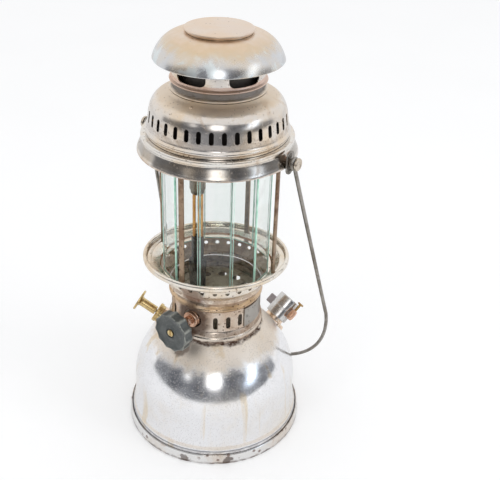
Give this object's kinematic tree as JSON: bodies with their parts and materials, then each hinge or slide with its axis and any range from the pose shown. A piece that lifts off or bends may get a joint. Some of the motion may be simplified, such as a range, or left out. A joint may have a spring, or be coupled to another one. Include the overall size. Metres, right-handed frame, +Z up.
{
  "type": "pressure lantern",
  "caption": "Kerosene pressure lantern: domed fuel tank with pump, gauge filler and valve wheel, slotted collar, flared gallery, strip glass chimney, vented hood and swinging bail.",
  "frame": {"origin": "centre of the foot ring, on the surface the lantern stands on", "axes": "+Z up along the lantern's axis; -Y towards the viewer of the picture, +X to the viewer's right"},
  "size_m": [0.1989, 0.1919, 0.4],
  "materials": {
    "nickel": "polished nickel plate, lightly tarnished",
    "tarnished_nickel": "warm tarnished nickel plate",
    "brass": "worn satin",
    "copper": "dull copper-toned brass",
    "rusted_steel": "rusty brown",
    "sooty_metal": "heat-darkened",
    "steel": "dull grey wire",
    "glass": "clear with ground green edges",
    "wheel": "dark grey-green moulding",
    "clay": "matt fired clay",
    "leather": "oiled",
    "rubber": "matt",
    "dial": "plain pale dial"
  },
  "bodies": {
    "lantern_body": {"base_pan": "nickel", "tank_shell": "nickel", "frame_top_ring": "nickel", "collar": "tarnished_nickel", "collar_door": "tarnished_nickel", "gallery": "tarnished_nickel", "ear_pin_right": "tarnished_nickel", "ear_pin_left": "tarnished_nickel", "jet": "brass", "vaporizer_tube": "brass", "pump_cap": "brass", "pump_barrel": "brass", "pump_valve": "brass", "filler_neck": "brass", "stuffing_box": "copper", "gland_nut": "copper", "burner_plate": "rusted_steel", "upright_front": "rusted_steel", "upright_right": "rusted_steel", "upright_back": "rusted_steel", "upright_left": "rusted_steel", "vaporizer_body": "sooty_metal", "vaporizer_head": "sooty_metal", "preheat_cup": "sooty_metal", "ear_plate_right": "steel", "ear_plate_left": "steel", "glass_strip_1": "glass", "glass_strip_2": "glass", "glass_strip_3": "glass", "glass_strip_4": "glass", "glass_strip_5": "glass", "glass_strip_6": "glass", "glass_strip_7": "glass", "glass_strip_8": "glass", "glass_strip_9": "glass", "glass_strip_10": "glass", "glass_strip_11": "glass", "glass_strip_12": "glass"},
    "hood": {"hood_drum": "tarnished_nickel", "hood_neck": "tarnished_nickel", "hood_lid": "tarnished_nickel", "hood_cap": "tarnished_nickel", "inner_casing": "sooty_metal", "mixing_tube": "steel", "burner_nozzle": "clay"},
    "bail": {"bail": "steel"},
    "handwheel": {"handwheel": "wheel", "wheel_screw": "brass", "spindle": "brass"},
    "needle": {"needle_rod": "steel"},
    "pump_plunger": {"pump_rod": "steel", "pump_knob": "brass", "pump_piston": "leather"},
    "filler_gasket": {"filler_gasket": "rubber"},
    "filler_cap": {"filler_cap": "nickel", "release_elbow": "copper", "gauge_dial": "dial", "gauge_lens": "glass"},
    "release_screw": {"release_screw": "brass"},
    "gauge_pointer": {"gauge_pointer": "sooty_metal"}
  },
  "joints": [
    {"name": "hood_lift", "type": "slide", "parent": "lantern_body", "child": "hood", "axis": [0, 0, 1], "range_m": [0, 0.12]},
    {"name": "bail_swing", "type": "hinge", "parent": "lantern_body", "child": "bail", "pos_m": [0, 0, 0.2982], "axis": [0.8425, -0.5388, 0], "range_deg": [0, 325]},
    {"name": "handwheel_turn", "type": "hinge", "parent": "lantern_body", "child": "handwheel", "pos_m": [-0.0142, -0.027, 0.136], "axis": [-0.6347, -0.7727, 0], "range_deg": [-90, 90]},
    {"name": "needle_lift", "type": "slide", "parent": "lantern_body", "child": "needle", "axis": [0, 0, 1], "range_m": [-0.0015, 0.0015]},
    {"name": "pump_stroke", "type": "slide", "parent": "lantern_body", "child": "pump_plunger", "axis": [-0.8368, 0.2574, 0.4833], "range_m": [0, 0.075]},
    {"name": "gasket_lift", "type": "slide", "parent": "lantern_body", "child": "filler_gasket", "axis": [0.653, 0.3939, 0.6468], "range_m": [0, 0.008]},
    {"name": "cap_turn", "type": "hinge", "parent": "filler_gasket", "child": "filler_cap", "pos_m": [0.06234, 0.0376, 0.0865], "axis": [0.653, 0.3939, 0.6468], "range_deg": [0, 1600]},
    {"name": "release_turn", "type": "hinge", "parent": "filler_cap", "child": "release_screw", "pos_m": [0.0705, 0.02407, 0.0865], "axis": [0.653, 0.3939, 0.6468], "range_deg": [0, 720]},
    {"name": "gauge_turn", "type": "hinge", "parent": "filler_cap", "child": "gauge_pointer", "pos_m": [0.07709, 0.04651, 0.10112], "axis": [0.653, 0.3939, 0.6468], "range_deg": [0, 270]}
  ],
  "couplings": [
    {"joint": "needle_lift", "follows": "handwheel_turn", "m_per_rad": 0.000954},
    {"joint": "cap_turn", "follows": "gasket_lift", "rad_per_m": 3396.3}
  ]
}
